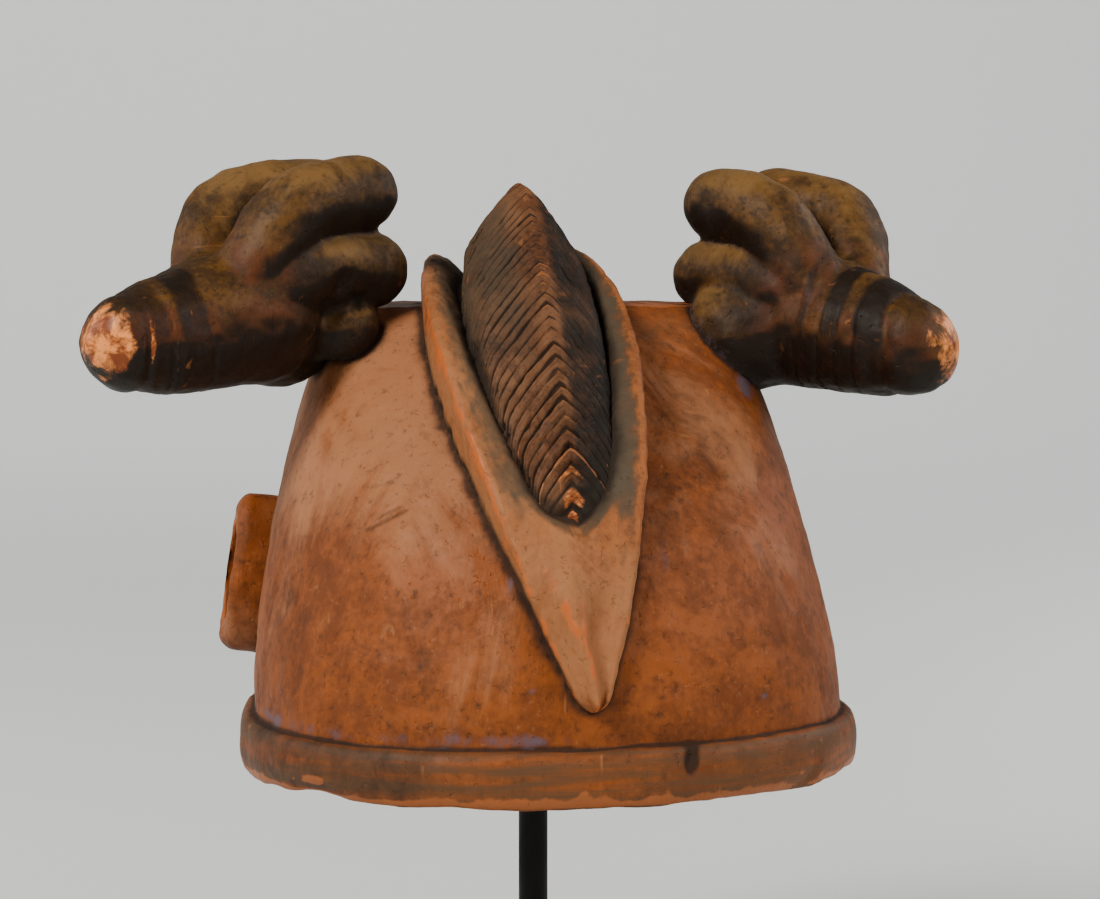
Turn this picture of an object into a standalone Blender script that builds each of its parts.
"""Gelede helmet mask carved from one block of wood, resting on its rod stand. Metres, +Z up.

+X is the viewer's right when the mask is seen from behind, +Y points to the mask's face, and the
origin lies under the rod, on the surface that the stand stands on.
"""

import math
from typing import NamedTuple

import bmesh
import bpy
from mathutils import Matrix, Vector

# Stand
ROD_RADIUS = 0.006
PLATE_RADIUS = 0.0125
PLATE_THICKNESS = 0.004
BASE_WIDTH = 0.200
BASE_THICKNESS = 0.012
BASE_EDGE_ROUND = 0.0015
SOCKET_DEPTH = 0.008
FIT_GAP = 0.0003
RIM_UNDERSIDE_Z = 0.160

# Head, with heights counted from the rim's underside
RIM_HEIGHT = 0.0225
RIM_PROUD = 0.006
HEAD_HALF_WIDTH = 0.1183
HEAD_UNEVEN = 0.0012
HEAD_REAR = 0.134
HEAD_FRONT = 0.148
CROWN_HEIGHT = 0.184
CROWN_ROUND = 0.016
CROWN_DOME = 0.001
WIDEST_SET_BACK = 0.030
SIDE_LEAN = 0.0365
BACK_LEAN = 0.115
FACE_LEAN = 0.045
CROWN_FORWARD = 0.045
BACK_CURVE = 2.2
FACE_CURVE = 2.5
SIDE_CURVE = 1.6
SQUARE_REAR_LEFT = 2.35
SQUARE_REAR_RIGHT = 2.0
SQUARE_FRONT = 2.1
WALL = 0.013
CROWN_WALL = 0.019
INNER_ROUND = 0.012
REAR_WALL_GAIN = 0.4
HOLLOW_OVERRUN = 0.010
HEAD_SIDES = 36
INNER_SIDES = 28

# Crest and the pod-shaped border around it
BORDER_HALF_WIDTH = 0.0435
BORDER_TIP = 0.004
BORDER_TIP_HEIGHT = 0.036
BORDER_FRONT_LEAD = 0.002
BORDER_PROUD_LOW = 0.011
BORDER_PROUD_TOP = 0.0195
BORDER_RIGHT_EXTRA = 0.0045
BORDER_SINK = 0.012
SPINE_REAR_LEAD = 0.001
SPINE_MIDDLE_SHARE = 0.32
SPINE_FRONT_SHARE = 0.64
SPINE_DROP = 0.010
SPINE_CROWN_DROP = 0.028
SPINE_STEPS = 200
SPINE_RISES = 4
LIP_WIDTH_LOW = 0.0165
LIP_WIDTH_TOP = 0.0090
TROUGH_FLOOR = 0.003
TROUGH_START_SHARE = 0.200
TROUGH_END_SHARE = 0.940
TROUGH_ROUND_SHARE = 0.110
TROUGH_OPEN = 0.006
BORDER_STATIONS = 34
CREST_GAP = 0.002
CREST_MIN_WIDTH = 0.002
CREST_FULL_WIDTH = 0.025
CREST_BASE = 0.004
CREST_OFFSET = 0.002
CREST_START_SHARE = 0.205
CREST_APEX_SHARE = 0.640
CREST_END_SHARE = 0.880
CREST_BLUNT_SHARE = 0.002
CREST_FOOT_SHARE = 0.010
CREST_APEX_HEIGHT = 0.0555
CREST_START_HEIGHT = 0.009
CREST_TAPER_SHARE = 0.070
CREST_SINK = 0.006
CREST_BULGE_LEFT = 0.80
CREST_BULGE_RIGHT = 0.92
RIDGE_SHIFT = 0.0065
CHEVRONS = 22
CHEVRON_DEPTH = 0.0018
CHEVRON_DROP = 0.016
PENDANT_RIDGE = 0.12
CREST_LEAN = 0.011

# Side bunches
LOBE_RADIUS = 0.0158
TRUNK_ROOT_RADIUS = 0.0290
TRUNK_NECK_RADIUS = 0.0230
TRUNK_TIP_RADIUS = 0.0200
TRUNK_TIP_LENGTH = 0.010
TRUNK_TILT = math.radians(10.0)
BAND_COUNT = 5
BAND_RELIEF = 0.0014
LOBE_RISE = 0.0325
LOBE_SPLAY = 0.9
LOWER_LOBE_EXTRA = 0.006
LOBE_STEM_FORWARD = 0.010
LOBE_STEM_DROP = 0.003
ROOT_RADIUS = 0.025

# Ears
EAR_HEIGHT = 0.068
EAR_DEPTH = 0.040
EAR_PROUD = 0.0032
EAR_MIDDLE_Y = 0.052
EAR_MIDDLE_HEIGHT = 0.069
EAR_RIM = 0.008
EAR_THICKNESS = 0.040
EAR_HOLLOW = 0.012
EAR_EDGE = 0.006
EAR_OVERRUN = 0.004
EAR_TILT = math.radians(8.0)

# Face, laid out in thirds from the hairline to the chin
BROW_HEIGHT = 0.108
EYE_HEIGHT = 0.093
NOSE_BASE_HEIGHT = 0.056
MOUTH_HEIGHT = 0.038
CHIN_HEIGHT = 0.018
EYE_SPACING = 0.042
EYE_HALF_LENGTH = 0.021
EYE_HALF_HEIGHT = 0.0095
EYE_PROUD = 0.007
EYE_SINK = 0.001
EYE_TURN = math.radians(20.0)
PUPIL_RADIUS = 0.0036
PUPIL_DEPTH = 0.007
LID_WIDTH = 0.0035
NOSE_HALF_WIDTH = 0.018
NOSE_PROUD = 0.022
NOSE_BRIDGE = 0.0065
NOSE_SINK = 0.004
NOSE_TOP_PROUD = 0.0025
NOSE_TIP_RISE = 0.009
NOSE_TIP = (0.0098, 0.0100, 0.0085)
NOSE_WING_RISE = 0.0065
NOSE_WING = (0.0078, 0.0115, 0.0074)
MOUTH_HALF_WIDTH = 0.027
LIP_RADIUS = 0.0065
LIP_LIFT = 0.0005
CHIN_SINK = 0.008
CHIN = (0.026, 0.0165, 0.0115)
BROW_RADIUS = 0.0046
BROW_ARCH = 0.007
BROW_START = 0.008
BROW_LENGTH = 0.062
BROW_SINK = 0.0008


class Bunch(NamedTuple):
    """One side's bunch.

    side is -1 on the left, turn is its angle from straight back, tip is the middle of its rounded
    tip, seen from the crown's edge on its side, and root is where its root ends, seen from where
    its lobes gather.
    """

    name: str
    side: int
    turn: float
    tip: Vector
    trunk: float
    reach: float
    root: Vector


BUNCHES = (
    Bunch(
        "left",
        -1,
        math.radians(58.0),
        Vector((-0.0846, -0.071, -0.0125)),
        0.058,
        0.042,
        Vector((0.012, 0.024, -0.006)),
    ),
    Bunch(
        "right",
        1,
        math.radians(36.0),
        Vector((0.0624, -0.071, -0.0155)),
        0.052,
        0.036,
        Vector((-0.027, 0.009, -0.005)),
    ),
)

SHARP_ANGLE = math.radians(35.0)
PARTS = "gelede_mask"
HELPERS = "carving_helpers"


def clear_scene():
    """Empty the scene and make one collection for the parts and one for the helpers."""
    for item in list(bpy.data.objects):
        bpy.data.objects.remove(item, do_unlink=True)
    for name in (PARTS, HELPERS):
        collection = bpy.data.collections.new(name)
        bpy.context.scene.collection.children.link(collection)


def add_object(name, mesh, helper=False):
    """Link a new object for the mesh, as a part or as a hidden helper."""
    item = bpy.data.objects.new(name, mesh)
    bpy.data.collections[HELPERS if helper else PARTS].objects.link(item)
    if helper:
        item.hide_render = True
        item.display_type = "WIRE"
    return item


def material(name, colour, roughness, metallic):
    """A Principled material of one colour."""
    made = bpy.data.materials.new(name)
    made.use_nodes = True
    shader = made.node_tree.nodes["Principled BSDF"]
    shader.inputs["Base Color"].default_value = (*colour, 1.0)
    shader.inputs["Roughness"].default_value = roughness
    shader.inputs["Metallic"].default_value = metallic
    return made


def shade(mesh):
    """Shade the mesh smooth across its round surfaces and sharp at its edges."""
    mesh.shade_smooth()
    mesh.set_sharp_from_angle(angle=SHARP_ANGLE)


def mesh_from(name, builder):
    """A mesh filled by a bmesh builder, with its faces turned outwards."""
    form = bmesh.new()
    builder(form)
    bmesh.ops.recalc_face_normals(form, faces=form.faces)
    mesh = bpy.data.meshes.new(name)
    form.to_mesh(mesh)
    form.free()
    shade(mesh)
    return mesh


def loft(name, rings):
    """A closed skin over rings that all have the same number of points."""

    def build(form):
        rows = [[form.verts.new(point) for point in ring] for ring in rings]
        count = len(rows[0])
        for low, high in zip(rows, rows[1:]):
            for i in range(count):
                j = (i + 1) % count
                form.faces.new((low[i], low[j], high[j], high[i]))
        for row in (rows[0], rows[-1]):
            centre = form.verts.new(sum((v.co for v in row), Vector()) / count)
            for i in range(count):
                form.faces.new((row[i], row[(i + 1) % count], centre))

    return mesh_from(name, build)


def boolean(target, helper, operation, solver="EXACT"):
    """Join a helper to the target, or cut it away; skins that nearly touch need MANIFOLD."""
    step = target.modifiers.new(helper.name, "BOOLEAN")
    step.object = helper
    step.operation = operation
    step.solver = solver


def raised(points):
    """The points lifted from the rim's underside to their height over the stand's surface."""
    return [Vector((p[0], p[1], p[2] + RIM_UNDERSIDE_Z)) for p in points]


def share_of_height(height):
    """How far up the head a height lies, from 0 at the top of the rim to 1 at the crown."""
    return min(max((height - RIM_HEIGHT) / (CROWN_HEIGHT - RIM_HEIGHT), 0.0), 1.0)


def rear_y(height):
    """Where the middle of the head's back lies at a height."""
    return -HEAD_REAR + BACK_LEAN * share_of_height(height) ** BACK_CURVE


def front_y(height):
    """Where the middle of the head's front lies at a height."""
    return HEAD_FRONT - FACE_LEAN * share_of_height(height) ** FACE_CURVE


def half_width(height):
    """Half the head's width at a height."""
    return HEAD_HALF_WIDTH - SIDE_LEAN * share_of_height(height) ** SIDE_CURVE


def power(value, exponent):
    """A signed power."""
    return math.copysign(abs(value) ** exponent, value)


def head_ring(height, inset, sides, drawn_at=None):
    """The head's outline at a height, drawn in by an inset, as a rounded and slightly uneven egg."""
    share = share_of_height(height)
    middle = -WIDEST_SET_BACK + CROWN_FORWARD * share
    across = half_width(height) - inset
    ring = []
    for i in range(sides):
        angle = 2.0 * math.pi * (i + 0.5) / sides
        c, s = math.cos(angle), math.sin(angle)
        if s > 0.0:
            square = SQUARE_FRONT
            reach = front_y(height) - middle - inset
        else:
            square = SQUARE_REAR_RIGHT if c > 0.0 else SQUARE_REAR_LEFT
            reach = middle - rear_y(height) - inset * (1.0 + REAR_WALL_GAIN * share)
        level = height if drawn_at is None else drawn_at
        x = HEAD_UNEVEN + across * power(c, 2.0 / square)
        y = middle + reach * power(s, 2.0 / square)
        ring.append((x, y, level))
    return ring


def head_skin(name, low_rings, inset, top, corner, sides):
    """The head's form from the given low rings up to a rounded, nearly flat crown."""
    rings = list(low_rings)
    straight = top - corner
    levels = 6
    for i in range(1, levels + 1):
        rings.append(head_ring(RIM_HEIGHT + (straight - RIM_HEIGHT) * i / levels, inset, sides))
    steps = 4
    for i in range(1, steps + 1):
        turn = 0.5 * math.pi * i / steps
        rings.append(
            head_ring(
                straight,
                inset + corner * (1.0 - math.cos(turn)),
                sides,
                straight + corner * math.sin(turn),
            )
        )
    rings.append(head_ring(straight, inset + 2.2 * corner, sides, top + CROWN_DOME))
    return loft(name, [raised(ring) for ring in rings])


def rim_rings():
    """The rounded band around the head's lower edge, from its underside to its top."""
    steps = 6
    rings = []
    for i in range(steps + 1):
        turn = math.pi * (i / steps - 0.5)
        proud = RIM_PROUD * max(math.cos(turn), 0.0) ** 0.6
        level = 0.5 * RIM_HEIGHT * (1.0 + math.sin(turn))
        rings.append(head_ring(RIM_HEIGHT, -proud, HEAD_SIDES, level))
    return rings


def make_head():
    """The head with its rim, solid."""
    return add_object(
        "mask", head_skin("mask", rim_rings(), 0.0, CROWN_HEIGHT, CROWN_ROUND, HEAD_SIDES)
    )


def make_hollow():
    """The space inside the head, which the wearer's head fills."""
    levels = (-HOLLOW_OVERRUN, RIM_HEIGHT)
    low = [head_ring(RIM_HEIGHT, WALL, INNER_SIDES, level) for level in levels]
    top = CROWN_HEIGHT - CROWN_WALL
    mesh = head_skin("hollow", low, WALL, top, INNER_ROUND, INNER_SIDES)
    return add_object("hollow", mesh, helper=True)


def hermite(points, share):
    """A point on the smooth curve through the points, at a share of their count."""
    place = share * (len(points) - 1)
    i = min(int(place), len(points) - 2)
    t = place - i
    before, start = points[max(i - 1, 0)], points[i]
    end, after = points[i + 1], points[min(i + 2, len(points) - 1)]
    leave, arrive = (end - before) * 0.5, (after - start) * 0.5
    return (
        start * (2 * t**3 - 3 * t**2 + 1)
        + leave * (t**3 - 2 * t**2 + t)
        + end * (3 * t**2 - 2 * t**3)
        + arrive * (t**3 - t**2)
    )


def evenly(points, count):
    """A smooth curve through the points, cut into equal lengths."""
    fine = [hermite(points, i / 400) for i in range(401)]
    lengths = [0.0]
    for a, b in zip(fine, fine[1:]):
        lengths.append(lengths[-1] + (b - a).length)
    result, k = [], 0
    for i in range(count + 1):
        wanted = lengths[-1] * i / count
        while k < 399 and lengths[k + 1] < wanted:
            k += 1
        t = (wanted - lengths[k]) / (lengths[k + 1] - lengths[k])
        result.append(fine[k].lerp(fine[k + 1], t))
    return result


class Spine:
    """The line up the middle of the head's back and over its crown, which carries the crest."""

    def __init__(self):
        rise = (CROWN_HEIGHT - SPINE_CROWN_DROP - BORDER_TIP_HEIGHT) / SPINE_RISES
        heights = [BORDER_TIP_HEIGHT + i * rise for i in range(SPINE_RISES + 1)]
        points = [Vector((0.0, rear_y(h), h)) for h in heights]
        crown = CROWN_HEIGHT + CROWN_DOME
        rear = Vector((0.0, rear_y(CROWN_HEIGHT) - SPINE_REAR_LEAD, crown))
        front = Vector((0.0, front_y(CROWN_HEIGHT) + BORDER_FRONT_LEAD, crown))
        drop = Vector((0.0, 0.0, SPINE_DROP))
        points.append(rear - drop)
        points.append(rear.lerp(front, SPINE_MIDDLE_SHARE))
        points.append(rear.lerp(front, SPINE_FRONT_SHARE))
        points.append(front - drop)
        self.points = evenly(points, SPINE_STEPS)
        self.length = sum((b - a).length for a, b in zip(self.points, self.points[1:]))

    def place(self, share):
        """The point, outward direction and leftward lean at a share of the spine's length."""
        spot = min(max(share, 0.0), 1.0) * SPINE_STEPS
        i = min(int(spot), SPINE_STEPS - 1)
        point = self.points[i].lerp(self.points[i + 1], spot - i)
        low, high = self.points[max(i - 4, 0)], self.points[min(i + 5, SPINE_STEPS)]
        along = (high - low).normalized()
        outward = Vector((1.0, 0.0, 0.0)).cross(along)
        lean = -CREST_LEAN * math.sin(0.5 * math.pi * min(share / CREST_APEX_SHARE, 1.0))
        return point + Vector((lean, 0.0, 0.0)), outward

    def at(self, share, across, proud):
        """A point beside the spine, and proud of it."""
        point, outward = self.place(share)
        return point + outward * proud + Vector((across, 0.0, 0.0))


def border_half_width(share):
    """Half the border's width at a share of the spine."""
    swell = math.sin(math.pi * min(max(share, 0.0), 1.0)) ** 0.9
    return BORDER_TIP + (BORDER_HALF_WIDTH - BORDER_TIP) * swell


def border_proud(share):
    """How far the border's lip stands proud of the head."""
    rise = math.sin(0.5 * math.pi * min(share / CREST_APEX_SHARE, 1.0))
    return BORDER_PROUD_LOW + (BORDER_PROUD_TOP - BORDER_PROUD_LOW) * rise


def trough_half_width(share):
    """Half the width of the trough inside the border, which closes at both ends."""
    lip = LIP_WIDTH_LOW + (LIP_WIDTH_TOP - LIP_WIDTH_LOW) * min(share / CREST_APEX_SHARE, 1.0)
    from_end = min(share - TROUGH_START_SHARE, TROUGH_END_SHARE - share) / TROUGH_ROUND_SHARE
    rounding = math.sqrt(1.0 - (1.0 - min(max(from_end, 0.0), 1.0)) ** 2)
    return max(border_half_width(share) - lip, 0.0) * rounding


def border_sides(outer, proud, trough):
    """Half the border's section, from its foot to its middle: open to a trough, or a solid keel."""
    open_by = min(trough / TROUGH_OPEN, 1.0)
    inner = max(trough, 0.35 * outer)
    lip = (
        (outer, -BORDER_SINK),
        (outer, 0.7 * proud),
        (outer - 0.12 * (outer - inner), 0.95 * proud),
        (0.5 * (outer + inner), proud),
        (inner, 0.95 * proud),
        (0.85 * inner, TROUGH_FLOOR),
        (0.0, TROUGH_FLOOR),
    )
    keel = (
        (outer, -BORDER_SINK),
        (outer, 0.40 * proud),
        (0.84 * outer, 0.66 * proud),
        (0.62 * outer, 0.86 * proud),
        (0.40 * outer, 1.00 * proud),
        (0.20 * outer, (1.0 + 0.7 * PENDANT_RIDGE) * proud),
        (0.0, (1.0 + PENDANT_RIDGE) * proud),
    )
    return [
        (k + (w - k) * open_by, kp + (wp - kp) * open_by) for (k, kp), (w, wp) in zip(keel, lip)
    ]


def make_border(spine):
    """The raised pod-shaped border with its pendant tip, its trough open to the crest."""
    rings = []
    for i in range(BORDER_STATIONS + 1):
        share = i / BORDER_STATIONS
        outer, proud, trough = border_half_width(share), border_proud(share), trough_half_width(share)
        extra = BORDER_RIGHT_EXTRA * (proud - BORDER_PROUD_LOW) / (BORDER_PROUD_TOP - BORDER_PROUD_LOW)
        right = border_sides(outer, proud + extra, trough)
        left = border_sides(outer, proud, trough)
        section = right[:-1] + [(-across, height) for across, height in reversed(left)]
        rings.append(raised(spine.at(share, across, height) for across, height in section))
    return add_object("border", loft("border", rings), helper=True)


def crest_height(share):
    """How far the crest's ridge stands proud of the head."""
    if share < CREST_APEX_SHARE:
        t = (share - CREST_START_SHARE) / (CREST_APEX_SHARE - CREST_START_SHARE)
        return CREST_START_HEIGHT + (CREST_APEX_HEIGHT - CREST_START_HEIGHT) * max(t, 0.0) ** 1.1
    t = (share - CREST_APEX_SHARE) / (CREST_END_SHARE - CREST_APEX_SHARE)
    return CREST_START_HEIGHT + (CREST_APEX_HEIGHT - CREST_START_HEIGHT) * (1.0 - t**1.6)


def make_crest(spine):
    """The three-cornered crest, cut with a herringbone of grooves that point up its ridge."""
    rings = []
    for i in range(2 * CHEVRONS + 1):
        share = CREST_START_SHARE + (CREST_END_SHARE - CREST_START_SHARE) * i / (2 * CHEVRONS)
        taper = math.sqrt(min((share - CREST_START_SHARE + CREST_BLUNT_SHARE) / CREST_TAPER_SHARE, 1.0))
        cut = CHEVRON_DEPTH * taper if i % 2 else 0.0
        width = max(trough_half_width(share) - CREST_GAP, CREST_MIN_WIDTH) * (0.3 + 0.7 * taper)
        drop = CHEVRON_DROP / spine.length * min(width / CREST_FULL_WIDTH, 1.0)
        top = crest_height(share) * taper - CREST_SINK * (1.0 - taper) - cut
        foot = max(share - drop, CREST_START_SHARE - CREST_FOOT_SHARE)
        waist = 0.5 * (share + foot)
        base = min(CREST_BASE, 0.4 * top)
        section = []
        for side, bulge in ((1.0, CREST_BULGE_RIGHT), (-1.0, CREST_BULGE_LEFT)):
            narrow = bulge * width - 0.6 * cut
            points = [
                (foot, width, -CREST_SINK - CREST_BASE),
                (foot, width, base),
                (waist, narrow, 0.5 * top),
            ]
            if side > 0.0:
                section += points + [(share, 0.0, top)]
            else:
                section += [(s, -a, p) for s, a, p in reversed(points)]
        shift = RIDGE_SHIFT * (top - CREST_START_HEIGHT) / (CREST_APEX_HEIGHT - CREST_START_HEIGHT)
        rings.append(raised(spine.at(s, a + shift - CREST_OFFSET, p) for s, a, p in section))
    return add_object("crest", loft("crest", rings), helper=True)


def tube(name, points, radii, sides=3):
    """A solid tube along the points, with its own radius at each, made a mesh."""
    curve = bpy.data.curves.new(name, "CURVE")
    curve.dimensions = "3D"
    curve.bevel_depth = 1.0
    curve.bevel_resolution = sides
    curve.use_fill_caps = True
    line = curve.splines.new("POLY")
    line.points.add(len(points) - 1)
    for spot, point, radius in zip(line.points, points, radii):
        spot.co = (*point, 1.0)
        spot.radius = radius
    source = bpy.data.objects.new(name + "_line", curve)
    bpy.context.scene.collection.objects.link(source)
    bpy.context.view_layer.update()
    shape = source.evaluated_get(bpy.context.evaluated_depsgraph_get())
    mesh = bpy.data.meshes.new_from_object(shape)
    form = bmesh.new()
    form.from_mesh(mesh)
    bmesh.ops.remove_doubles(form, verts=form.verts, dist=0.00005)
    bmesh.ops.recalc_face_normals(form, faces=form.faces)
    form.to_mesh(mesh)
    form.free()
    shade(mesh)
    bpy.data.objects.remove(source, do_unlink=True)
    bpy.data.curves.remove(curve)
    return add_object(name, mesh, helper=True)


def rounded(points, radius, ends=3):
    """The points cut finer, with radii that round off both ends of the line."""
    line = evenly(points, 6)
    start, finish = (line[0] - line[1]).normalized(), (line[-1] - line[-2]).normalized()
    places, radii = list(line), [radius] * len(line)
    for i in range(1, ends + 1):
        turn = 0.5 * math.pi * i / (ends + 0.4)
        reach, width = radius * math.sin(turn), radius * math.cos(turn)
        places.insert(0, line[0] + start * reach)
        radii.insert(0, width)
        places.append(line[-1] + finish * reach)
        radii.append(width)
    return places, radii


def bunch_axes(bunch):
    """The directions to a bunch's tip, across it and outwards, and up."""
    towards = Vector((bunch.side * math.sin(bunch.turn), -math.cos(bunch.turn), 0.0))
    across = Vector((bunch.side * math.cos(bunch.turn), math.sin(bunch.turn), 0.0))
    return towards, across, Vector((0.0, 0.0, 1.0))


def trunk_direction(bunch):
    """The trunk's direction from where the lobes gather to its tip."""
    towards, _, up = bunch_axes(bunch)
    return towards * math.cos(TRUNK_TILT) - up * math.sin(TRUNK_TILT)


def make_trunk(bunch):
    """The tapering trunk with its turned bands and rounded tip, as a profile and a Screw."""
    profile = [(0.0, bunch.trunk + TRUNK_TIP_RADIUS)]
    for i in range(1, 4):
        turn = 0.5 * math.pi * (1.0 - i / 4)
        profile.append(
            (TRUNK_TIP_RADIUS * math.cos(turn), bunch.trunk + TRUNK_TIP_RADIUS * math.sin(turn))
        )
    profile.append((TRUNK_TIP_RADIUS, bunch.trunk))
    neck = bunch.trunk - TRUNK_TIP_LENGTH
    profile.append((TRUNK_NECK_RADIUS - BAND_RELIEF, neck))
    for i in range(BAND_COUNT):
        for offset, relief in ((0.25, 0.0), (0.85, 0.0), (1.0, -BAND_RELIEF)):
            t = (i + offset) / BAND_COUNT
            radius = TRUNK_NECK_RADIUS + (TRUNK_ROOT_RADIUS - TRUNK_NECK_RADIUS) * t
            profile.append((radius + relief, neck * (1.0 - t)))
    for i in range(1, 4):
        turn = 0.5 * math.pi * i / 3
        profile.append(
            (
                (TRUNK_ROOT_RADIUS - BAND_RELIEF) * math.cos(turn),
                -TRUNK_ROOT_RADIUS * math.sin(turn),
            )
        )
    mesh = bpy.data.meshes.new("trunk_profile")
    points = [Vector((max(radius, 0.0), 0.0, level)) for radius, level in profile]
    mesh.from_pydata(points, [(i, i + 1) for i in range(len(points) - 1)], [])
    trunk = add_object("trunk_" + bunch.name, mesh, helper=True)
    turned = trunk.modifiers.new("turned", "SCREW")
    turned.axis = "Z"
    turned.angle = 2.0 * math.pi
    turned.steps = turned.render_steps = 16
    turned.use_merge_vertices = True
    turned.merge_threshold = 0.00005
    turned.use_smooth_shade = True
    trunk.rotation_mode = "QUATERNION"
    trunk.rotation_quaternion = trunk_direction(bunch).to_track_quat("Z", "Y")
    trunk.location = raised([gather_point(bunch)])[0]
    return trunk


def crown_edge(side):
    """The middle of the crown's edge on one side, from which that side's bunch is placed."""
    across = HEAD_HALF_WIDTH - SIDE_LEAN
    return Vector((side * across, CROWN_FORWARD - WIDEST_SET_BACK, CROWN_HEIGHT))


def gather_point(bunch):
    """Where a bunch's lobes gather into its trunk."""
    return crown_edge(bunch.side) + bunch.tip - trunk_direction(bunch) * bunch.trunk


def make_lobes(bunch):
    """The four fat lobes that rise from the trunk and lie over the crown."""
    towards, across, up = bunch_axes(bunch)
    gather = gather_point(bunch)
    made = []
    for row, above in (("upper", 1), ("lower", -1)):
        for column, beside in (("near", -1), ("far", 1)):
            spread = LOBE_RADIUS * beside
            splay = spread * (1.0 + (LOBE_SPLAY if beside > 0 else 0.0))
            lift = LOBE_RISE + LOBE_RADIUS * above * 0.95
            reach = bunch.reach + (LOWER_LOBE_EXTRA if above < 0 else 0.0)
            stem = gather + towards * LOBE_STEM_FORWARD + across * (0.5 * splay)
            stem += up * (0.25 * lift - LOBE_STEM_DROP)
            bend = gather - towards * (0.25 * reach) + across * splay + up * (0.86 * lift)
            cap = gather - towards * reach + across * spread + up * lift
            places, radii = rounded([stem, bend, cap], LOBE_RADIUS)
            made.append(tube(f"lobe_{bunch.name}_{row}_{column}", raised(places), radii))
    return made


def make_root(bunch):
    """The stout root that ties a bunch to the side of the head."""
    gather = gather_point(bunch)
    places, radii = rounded([gather + bunch.root * t for t in (0.1, 0.5, 1.0)], ROOT_RADIUS)
    return tube("root_" + bunch.name, raised(places), radii)


def scaled_sphere(name, place, sizes, segments=14, rings=8, turn=0.0):
    """An ellipsoid with the given half sizes, turned about Z."""

    def build(form):
        where = Matrix.Translation(place) @ Matrix.Rotation(turn, 4, "Z")
        bmesh.ops.create_uvsphere(
            form,
            u_segments=segments,
            v_segments=rings,
            radius=1.0,
            matrix=where @ Matrix.Diagonal((*sizes, 1.0)),
        )

    return add_object(name, mesh_from(name, build), helper=True)


def oval_slab(name, place, half_depth, half_height, thickness, tilt, edge=0.0):
    """An upright oval slab that faces sideways, tilted about its front-to-back line."""

    def build(form):
        where = (
            Matrix.Translation(place)
            @ Matrix.Rotation(0.5 * math.pi + tilt, 4, "Y")
            @ Matrix.Diagonal((half_height, half_depth, 1.0, 1.0))
        )
        bmesh.ops.create_cone(
            form,
            cap_ends=True,
            segments=20,
            radius1=1.0,
            radius2=1.0,
            depth=thickness,
            matrix=where,
        )

    slab = add_object(name, mesh_from(name, build), helper=True)
    if edge:
        soft = slab.modifiers.new("soft_edge", "BEVEL")
        soft.width = edge
        soft.segments = 2
        soft.limit_method = "ANGLE"
    return slab


def make_ear(side, name):
    """One ear: a slab that stands off the head, and the hollow that leaves it a C from the side."""
    middle = raised([(0.0, EAR_MIDDLE_Y, EAR_MIDDLE_HEIGHT)])[0]
    tilt = -side * EAR_TILT
    slab_x = side * (HEAD_HALF_WIDTH + EAR_PROUD - 0.5 * EAR_THICKNESS)
    slab = oval_slab(
        "ear_" + name,
        Vector((slab_x, middle.y, middle.z)),
        0.5 * EAR_DEPTH,
        0.5 * EAR_HEIGHT,
        EAR_THICKNESS,
        tilt,
        EAR_EDGE,
    )
    hollow_x = side * (HEAD_HALF_WIDTH + EAR_PROUD - 0.5 * EAR_HOLLOW + EAR_OVERRUN)
    hollow = oval_slab(
        "ear_hollow_" + name,
        Vector((hollow_x, middle.y + 0.7 * EAR_RIM, middle.z)),
        0.5 * EAR_DEPTH - EAR_RIM,
        0.5 * EAR_HEIGHT - EAR_RIM,
        EAR_HOLLOW + 2.0 * EAR_OVERRUN,
        tilt,
    )
    return slab, hollow


def face_point(across, height, proud):
    """A point on the face's surface, or proud of it."""
    share = share_of_height(height)
    middle = -WIDEST_SET_BACK + CROWN_FORWARD * share
    reach = front_y(height) - middle
    side = min(abs(across) / half_width(height), 0.999)
    y = middle + reach * (1.0 - side**SQUARE_FRONT) ** (1.0 / SQUARE_FRONT)
    return Vector((across, y + proud, height))


def make_eye(side, name):
    """One almond eye with its lids, and the hole for its pupil."""
    middle = raised([face_point(side * EYE_SPACING, EYE_HEIGHT, -EYE_SINK)])[0]
    turn = -side * EYE_TURN
    ball = scaled_sphere(
        "eye_" + name, middle, (EYE_HALF_LENGTH, EYE_PROUD, EYE_HALF_HEIGHT), turn=turn
    )
    lids = scaled_sphere(
        "lids_" + name,
        middle,
        (EYE_HALF_LENGTH + LID_WIDTH, 0.62 * EYE_PROUD, EYE_HALF_HEIGHT + LID_WIDTH),
        turn=turn,
    )
    pupil_y = middle.y + EYE_PROUD - PUPIL_DEPTH

    def build(form):
        where = Matrix.Translation((middle.x, pupil_y + PUPIL_DEPTH, middle.z))
        bmesh.ops.create_cone(
            form,
            cap_ends=True,
            segments=14,
            radius1=PUPIL_RADIUS,
            radius2=PUPIL_RADIUS,
            depth=2.0 * PUPIL_DEPTH,
            matrix=where @ Matrix.Rotation(0.5 * math.pi, 4, "X"),
        )

    pupil = add_object("pupil_" + name, mesh_from("pupil", build), helper=True)
    return [lids, ball], pupil


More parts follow.
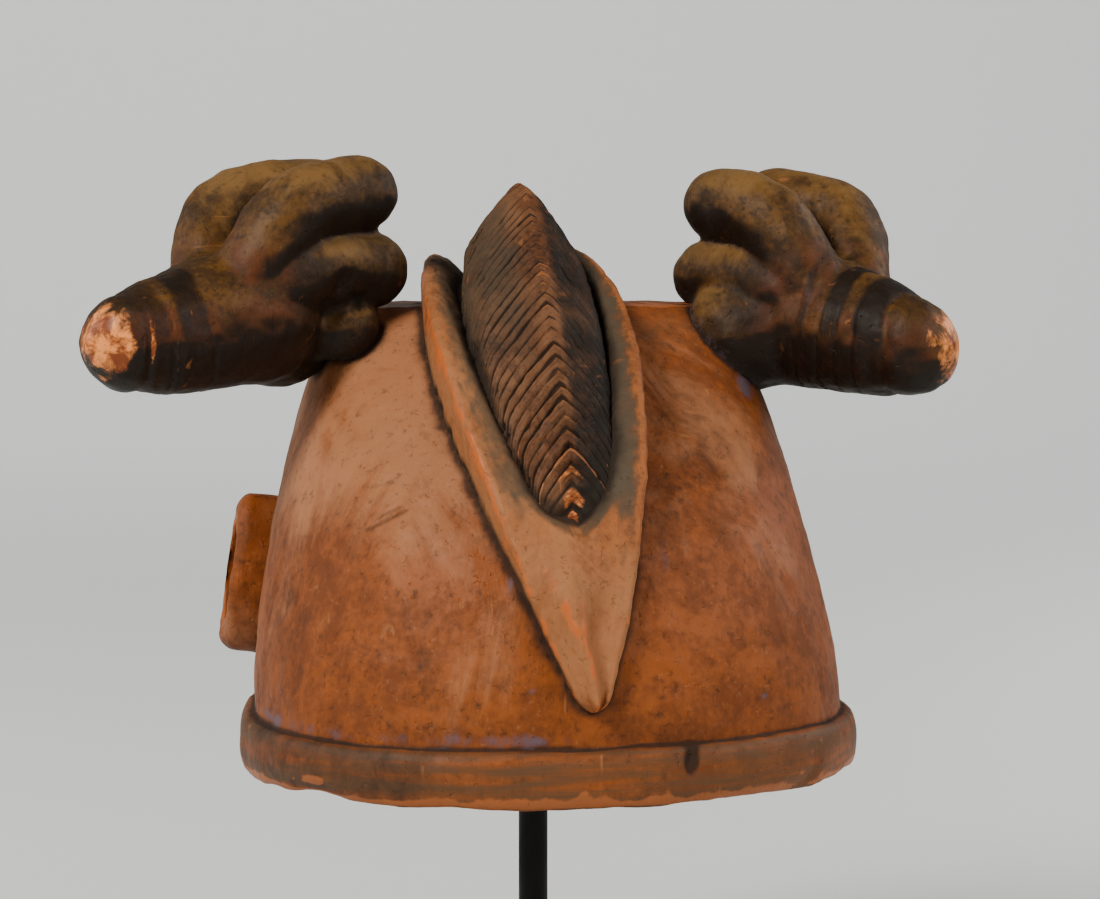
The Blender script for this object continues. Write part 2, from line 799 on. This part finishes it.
def make_nose():
    """A straight nose that widens from the brow to a rounded tip, with its two wings."""
    rings = []
    steps = 8
    for i in range(steps + 1):
        t = i / steps
        level = BROW_HEIGHT + (NOSE_BASE_HEIGHT - BROW_HEIGHT) * t
        wide = NOSE_BRIDGE + (0.60 * NOSE_HALF_WIDTH - NOSE_BRIDGE) * t**1.4
        under = math.cos(0.5 * math.pi * max((t - 0.80) / 0.24, 0.0)) ** 0.6
        rise = min(t / 0.86, 1.0) ** 1.15
        proud = (NOSE_TOP_PROUD + (NOSE_PROUD - NOSE_TOP_PROUD) * rise) * under
        base = face_point(0.0, level, 0.0).y
        ring = []
        for j in range(11):
            angle = math.pi * j / 10
            reach = base - NOSE_SINK + (proud + NOSE_SINK) * math.sin(angle) ** 0.85
            ring.append((wide * math.cos(angle), reach, level))
        rings.append(raised(ring))
    made = [add_object("nose", loft("nose", rings), helper=True)]
    tip = raised([face_point(0.0, NOSE_BASE_HEIGHT + NOSE_TIP_RISE, NOSE_PROUD - NOSE_TIP[1])])[0]
    made.append(scaled_sphere("nose_tip", tip, NOSE_TIP, 14, 9))
    for side, name in ((-1, "left"), (1, "right")):
        place = face_point(side * 0.66 * NOSE_HALF_WIDTH, NOSE_BASE_HEIGHT + NOSE_WING_RISE, NOSE_TOP_PROUD)
        made.append(scaled_sphere("nose_wing_" + name, raised([place])[0], NOSE_WING, 12, 8))
    return made


def make_mouth():
    """Two full, closed lips."""
    made = []
    steps = 12
    for name, level, size in (
        ("upper_lip", MOUTH_HEIGHT + 0.80 * LIP_RADIUS, 0.88),
        ("lower_lip", MOUTH_HEIGHT - 0.85 * LIP_RADIUS, 1.0),
    ):
        places, radii = [], []
        for i in range(steps + 1):
            t = 2.0 * i / steps - 1.0
            height = MOUTH_HEIGHT + (level - MOUTH_HEIGHT) * (1.0 - t * t)
            places.append(face_point(MOUTH_HALF_WIDTH * t, height, LIP_LIFT))
            radii.append(LIP_RADIUS * size * (0.22 + 0.78 * math.sqrt(max(1.0 - t * t, 0.0))))
        made.append(tube(name, raised(places), radii))
    return made


def make_chin():
    """The rounded chin over the rim."""
    place = raised([face_point(0.0, CHIN_HEIGHT, -CHIN_SINK)])[0]
    return scaled_sphere("chin", place, CHIN, 16, 9)


def make_brows():
    """The two raised arches of the brow, which run from the nose's bridge to the temples."""
    made = []
    steps = 10
    for side, name in ((-1, "left"), (1, "right")):
        places, radii = [], []
        for i in range(steps + 1):
            t = i / steps
            across = side * (BROW_START + BROW_LENGTH * t)
            level = BROW_HEIGHT + BROW_ARCH * math.sin(math.pi * t) - 0.5 * BROW_ARCH * t
            places.append(face_point(across, level, -BROW_SINK))
            radii.append(BROW_RADIUS * (0.45 + 0.55 * math.sin(math.pi * t)))
        made.append(tube("brow_" + name, raised(places), radii, sides=2))
    return made


def make_mask(wood):
    """The whole carving: head, crest, bunches, ears and face in one piece, then hollowed."""
    mask = make_head()
    mask.data.materials.append(wood)
    spine = Spine()
    added = [make_border(spine), make_crest(spine)]
    cuts = [make_hollow()]
    for bunch in BUNCHES:
        added += [make_root(bunch), make_trunk(bunch), *make_lobes(bunch)]
    for side, name in ((-1, "left"), (1, "right")):
        slab, hollow = make_ear(side, name)
        balls, pupil = make_eye(side, name)
        added += [slab, *balls]
        cuts += [hollow, pupil]
    added += [*make_nose(), *make_mouth(), make_chin(), *make_brows()]
    for helper in added:
        boolean(mask, helper, "UNION", "MANIFOLD")
    for helper in cuts:
        boolean(mask, helper, "DIFFERENCE", "MANIFOLD")
    return mask


def cylinder(name, radius, low, high, segments, helper=False):
    """An upright cylinder on the rod's axis."""

    def build(form):
        bmesh.ops.create_cone(
            form,
            cap_ends=True,
            segments=segments,
            radius1=radius,
            radius2=radius,
            depth=high - low,
            matrix=Matrix.Translation((0.0, 0.0, 0.5 * (low + high))),
        )

    return add_object(name, mesh_from(name, build), helper)


def make_rod(steel):
    """The stand's rod, from its socket in the base to the round plate under the mask's crown."""
    top = RIM_UNDERSIDE_Z + CROWN_HEIGHT - CROWN_WALL - FIT_GAP
    foot = BASE_THICKNESS - SOCKET_DEPTH + FIT_GAP
    rod = cylinder("stand_rod", ROD_RADIUS, foot, top - 0.5 * PLATE_THICKNESS, 32)
    rod.data.materials.append(steel)
    plate = cylinder("support_plate", PLATE_RADIUS, top - PLATE_THICKNESS, top, 40, helper=True)
    boolean(rod, plate, "UNION")
    return rod


def make_base(steel):
    """The square base plate with the rod's socket."""

    def build(form):
        where = Matrix.Translation((0.0, 0.0, 0.5 * BASE_THICKNESS)) @ Matrix.Diagonal(
            (BASE_WIDTH, BASE_WIDTH, BASE_THICKNESS, 1.0)
        )
        bmesh.ops.create_cube(form, size=1.0, matrix=where)

    base = add_object("stand_base", mesh_from("stand_base", build))
    base.data.materials.append(steel)
    edge = base.modifiers.new("eased_edges", "BEVEL")
    edge.width = BASE_EDGE_ROUND
    edge.segments = 2
    socket = cylinder(
        "socket",
        ROD_RADIUS + FIT_GAP,
        BASE_THICKNESS - SOCKET_DEPTH,
        BASE_THICKNESS + SOCKET_DEPTH,
        32,
        helper=True,
    )
    boolean(base, socket, "DIFFERENCE")
    return base


def main():
    """Build the mask and its stand."""
    clear_scene()
    wood = material("carved_wood", (0.33, 0.15, 0.06), 0.55, 0.0)
    steel = material("black_steel", (0.008, 0.008, 0.008), 0.40, 0.0)
    make_mask(wood)
    make_rod(steel)
    make_base(steel)


main()
